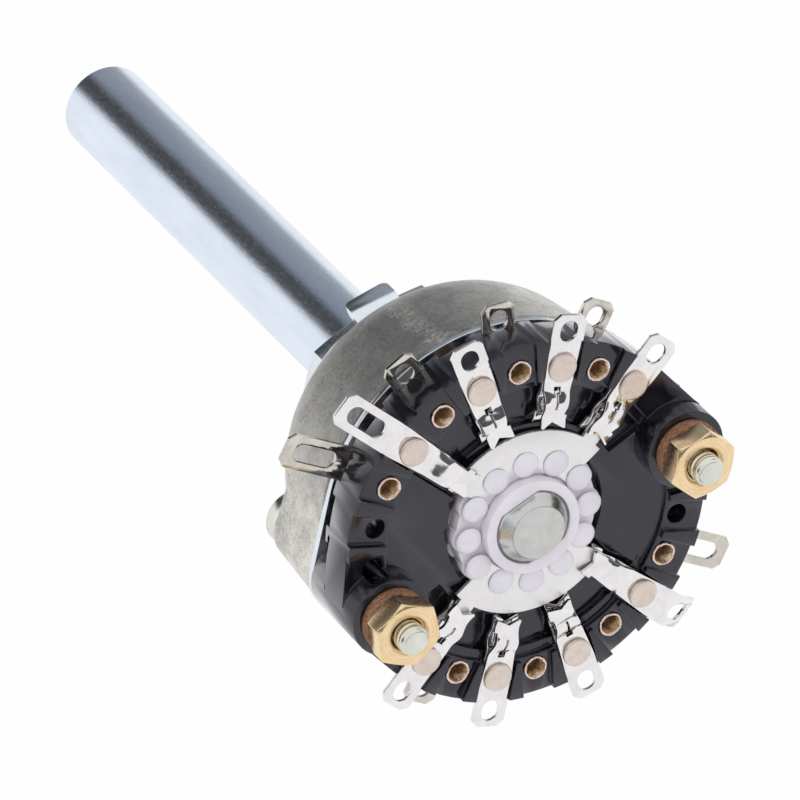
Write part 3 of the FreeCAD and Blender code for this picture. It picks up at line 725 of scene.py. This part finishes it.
def screws():
    raw = raw_object(screw_form(), "screw")
    cutter = slot_cutter()
    slot = raw.modifiers.new("slot", "BOOLEAN")
    slot.operation = "DIFFERENCE"
    slot.solver = "EXACT"
    slot.object = cutter
    apply_recipe(raw, CUT_THREAD, {
        "Pitch": SCREW_PITCH * MM, "Depth": SCREW_THREAD_DEPTH * MM, "Radius": SCREW_RADIUS * MM,
        "From": (THREAD_START + 0.1) * MM, "To": THREAD_END * MM, "Finish": FINISHES["screw"]})
    apply_recipe(raw, ROUND_THE_CIRCLE, {
        "Circle": STATION_CIRCLE * MM, "Count": 2, "Run": 2, "First": 0.0, "Step": 180.0, "Jump": 0.0,
        "Rough": 0.0, "Seed": 4, "Finish": FINISHES["screw"]})
    piece = baked(raw, "screws")
    bpy.data.objects.remove(cutter)
    settle(piece, "body", "zinc_plate", FINISHES["screw"], "assembly_screws")


# Housing, with its bush threaded

def casting():
    form = merged_copy("housing")
    for i in range(1, BUSH_CUTS):
        cut_across(form, (0, BUSH_FREE * MM * i / BUSH_CUTS, 0), (0, 1, 0))
    raw = round_edges(raw_object(form, "casting"), EDGE["casting"])
    apply_recipe(raw, CUT_THREAD, {
        "Pitch": BUSH_PITCH * MM, "Depth": BUSH_THREAD_DEPTH * MM, "Radius": BUSH_RADIUS * MM,
        "From": 0.1 * MM, "To": (BUSH_FREE - 0.05) * MM, "Finish": FINISHES["zinc_casting"]})
    settle(baked(raw, "casting"), "body", "zinc_casting", FINISHES["zinc_casting"], "housing")


# Brass nuts, countersunk

def on_hole_rim(point):
    """Whether a point of a nut lies on the rear rim of its hole."""
    off_axis = math.hypot(abs(point.x) - STATION_CIRCLE * MM, point.z)
    on_top = abs(point.y - NUT_TOP * MM) < LEVEL_SLACK * MM
    return on_top and abs(off_axis - NUT_HOLE * MM) < RADIUS_SLACK * MM


def brass_nuts():
    form = merged_copy("brass_nuts")
    rim = [edge for edge in form.edges if all(on_hole_rim(v.co) for v in edge.verts)]
    bmesh.ops.bevel(
        form, geom=rim, offset=COUNTERSINK * MM, segments=1, affect="EDGES", clamp_overlap=False)
    dressed("brass_nuts", "nut_brass", EDGE["brass_nuts"], form=form, sharp=25.0)


# Rotor, its stake heads spread and rounded over: insets in millimetres, rises as shares of the dome

STAKE_ROUNDING = ((0.1, 0.45), (0.14, 0.3), (0.18, 0.15), (0.2, 0.1))


def rotor():
    form = merged_copy("rotor")
    level, slack = STAKE_TOP * MM, LEVEL_SLACK * MM
    tops = [f for f in form.faces if all(abs(v.co.y - level) < slack for v in f.verts)]
    for top in tops:
        middle = top.calc_center_median()
        for point in top.verts:
            point.co = middle + (point.co - middle) * STAKE_SPREAD
            point.co.y = STAKE_EDGE * MM
    for inset, rise in STAKE_ROUNDING:
        bmesh.ops.inset_individual(form, faces=tops, thickness=inset * MM, depth=rise * STAKE_DOME * MM)
    dressed("rotor", "white_moulding", EDGE["rotor"], "spindle", form=form, segments=3)


# Shaft, its rear end a longer cone than the solid's

def shaft():
    form = welded_copy("shaft")
    rim = [v for v in form.verts if v.co.y > (SHAFT_END - END_SLACK) * MM]
    widest = max(math.hypot(v.co.x, v.co.z) for v in rim)
    for point in rim:
        point.co.x *= END_DISC * MM / widest
        point.co.z *= END_DISC * MM / widest
        point.co.y += END_RISE * MM
    raw = raw_object(whole_faces(form), "shaft")
    raw.data.set_sharp_from_angle(angle=math.radians(30))
    settle(baked(raw, "shaft_dressed"), "spindle", "zinc_plate", FINISHES["shaft"], "shaft")


# The one solder lug that is bent forward, past its rivet: lengths in millimetres, the turn in degrees

BENT_CLIP = "clip_rear_b_common_outer"
BENT_STATION = 15
BEND_START = 13.2
BEND_TURN = 38.0
BEND_STEPS = 5
BEND_STEP = 0.12


def bent_clip():
    form = merged_copy(BENT_CLIP)
    angle = math.radians(STATION_STEP * (BENT_STATION + 1))
    along = Vector((math.cos(angle), 0, math.sin(angle)))
    forward = Vector((0, -1, 0))
    turn = Matrix.Rotation(math.radians(BEND_TURN / BEND_STEPS), 3, along.cross(forward))
    fold = along * BEND_START * MM - forward * (REAR_LAND + STRIP / 2) * MM
    for _ in range(BEND_STEPS):
        cut_across(form, fold, along)
        beyond = [v for v in form.verts if (v.co - fold).dot(along) > 2 * WELD]
        bmesh.ops.rotate(form, verts=beyond, cent=fold, matrix=turn)
        along = turn @ along
        fold = fold + along * BEND_STEP * MM
    dressed(BENT_CLIP, "silver_contact", EDGE["clip"], form=form)


# Pieces

rotor()
shaft()
bent_clip()
casting()
brass_nuts()
screws()
rivets()
for name, slot in (
        ("rear_plate", "zinc_plate"), ("locating_washer", "zinc_plate"), ("panel_nut", "zinc_plate"),
        ("wafer", "black_moulding"), ("fibre_washers", "brown_fibre")):
    dressed(name, slot, EDGE[name])
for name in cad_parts:
    if name.startswith("clip_") and name not in ("clip_rivets", BENT_CLIP):
        # The front clips get the silver darkened as painted shade
        side = "front_contact" if name.startswith("clip_front") else "silver_contact"
        dressed(name, "silver_contact", EDGE["clip"], material=FINISHES[side])
    elif name.startswith("ring_"):
        dressed(name, "silver_contact", EDGE["ring"], "spindle", FINISHES["ring"])

# Solids inside the housing, shown as they are

for name, slot in (
        ("index_carrier", "carrier_moulding"), ("detent_ball_a", "spring_steel"),
        ("detent_ball_b", "spring_steel"), ("detent_spring_a", "spring_steel"),
        ("detent_spring_b", "spring_steel")):
    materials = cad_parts[name].data.materials
    materials.clear()
    materials.append(FINISHES[slot])


# Stage: a floor below, a plain studio, and the camera where the photograph was taken; the floor's drop
# and the lens are in millimetres, the floor's half width and the camera's place in metres

FLOOR_DROP = 45.0
FLOOR_HALF = 6.0
FLOOR_GREY = 0.85
FLOOR_WHITE = 0.94
LENS = 374.459
CAMERA_PLACE = (0.11258793, 0.41190229, 0.30765527)
CAMERA_RIGHT = (-0.84974654, 0.44540535, -0.28203703)
CAMERA_UP = (-0.48161427, -0.43826051, 0.75893045)
CAMERA_BACK = (0.21442599, 0.78073158, 0.58692392)

# What bright surfaces mirror: panels on the side that the shaft points to, by share of a turn about its
# axis, and a dim band low on the camera's side; their edges are parts of a direction one long

FAR_SIDE = (-0.35, -0.55)
NEAR_SIDE = (0.3, 0.6)
BAND_HEIGHT = 0.15
BAND_EDGE = (0.18, 0.3)
BAND_LIGHT = 0.1
PANELS = [(0.0, 0.42), (0.05, 0.62), (0.12, 1.0), (0.5, 1.0), (0.62, 1.0), (0.66, 0.06), (0.76, 0.05),
          (0.80, (0.25, 0.27, 0.3)), (0.90, (0.3, 0.33, 0.37)), (1.0, 0.42)]


def floor_finish(g):
    """White to the eye and in mirrors, pale where it takes light, and a little shadow shows through."""
    ray = g.add("ShaderNodeLightPath", output="Is Camera Ray")
    seen = ray + ray.out("Is Glossy Ray") + ray.out("Is Transmission Ray")
    share = (seen > 0.5) * FLOOR_WHITE
    plain = g.add("ShaderNodeBsdfDiffuse", inputs={"Color": rgba(FLOOR_GREY)})
    white = g.add("ShaderNodeEmission", inputs={"Color": rgba(1.0), "Strength": 1.0})
    return g.add("ShaderNodeMixShader", inputs={0: share, 1: plain, 2: white})


def make_floor():
    form = bmesh.new()
    bmesh.ops.create_grid(form, x_segments=2, y_segments=2, size=FLOOR_HALF)
    bmesh.ops.translate(form, verts=form.verts, vec=(0, 0, -FLOOR_DROP * MM))
    floor = new_object("floor", plain_mesh(form, "floor"))
    material = bpy.data.materials.new("pale_floor")
    material.use_nodes = True
    g = Graph(material.node_tree)
    g.add("ShaderNodeOutputMaterial", inputs={"Surface": floor_finish(g)})
    floor.data.materials.append(material)


def make_world():
    """Even light for matt surfaces; bright ones mirror the panels and the dim band."""
    world = bpy.data.worlds.new("studio")
    bpy.context.scene.world = world
    world.use_nodes = True
    world.cycles.sampling_method = "NONE"
    g = Graph(world.node_tree)
    ray = g.add("ShaderNodeLightPath", output="Is Camera Ray")
    way = g.add("ShaderNodeTexCoord", output="Generated")
    parts = g.add("ShaderNodeSeparateXYZ", inputs={0: way})
    turn = g.add("ShaderNodeMath", {"operation": "ARCTAN2"}, {0: parts.out("Z"), 1: parts.out("X")})
    panels = ramp(g, turn / (2 * math.pi) + 0.5, PANELS)
    beyond = spread(g, parts.out("Y"), *FAR_SIDE)
    level = spread(g, (parts.out("Z") - BAND_HEIGHT).size(), *BAND_EDGE, 1.0, 0.0)
    band = level * spread(g, parts.out("Y"), *NEAR_SIDE)
    mirrored = blend_colour(g, band, blend_colour(g, beyond, 1.0, panels), BAND_LIGHT)
    light = blend_colour(g, ray.out("Is Glossy Ray"), 1.0, mirrored)
    shown = blend_colour(g, ray, light, 1.0)
    lamp = g.add("ShaderNodeBackground", inputs={"Color": shown, "Strength": 1.0})
    g.add("ShaderNodeOutputWorld", inputs={"Surface": lamp})


def make_camera():
    lens = bpy.data.cameras.new("camera")
    lens.sensor_width = 36.0
    lens.lens = LENS
    lens.clip_start = 0.01
    lens.clip_end = 50.0
    camera = bpy.data.objects.new("camera", lens)
    bpy.context.scene.collection.objects.link(camera)
    pose = Matrix((CAMERA_RIGHT, CAMERA_UP, CAMERA_BACK)).transposed().to_4x4()
    pose.translation = CAMERA_PLACE
    camera.matrix_world = pose
    bpy.context.scene.camera = camera


make_floor()
make_world()
make_camera()

view = bpy.context.scene.view_settings
view.view_transform = "Standard"
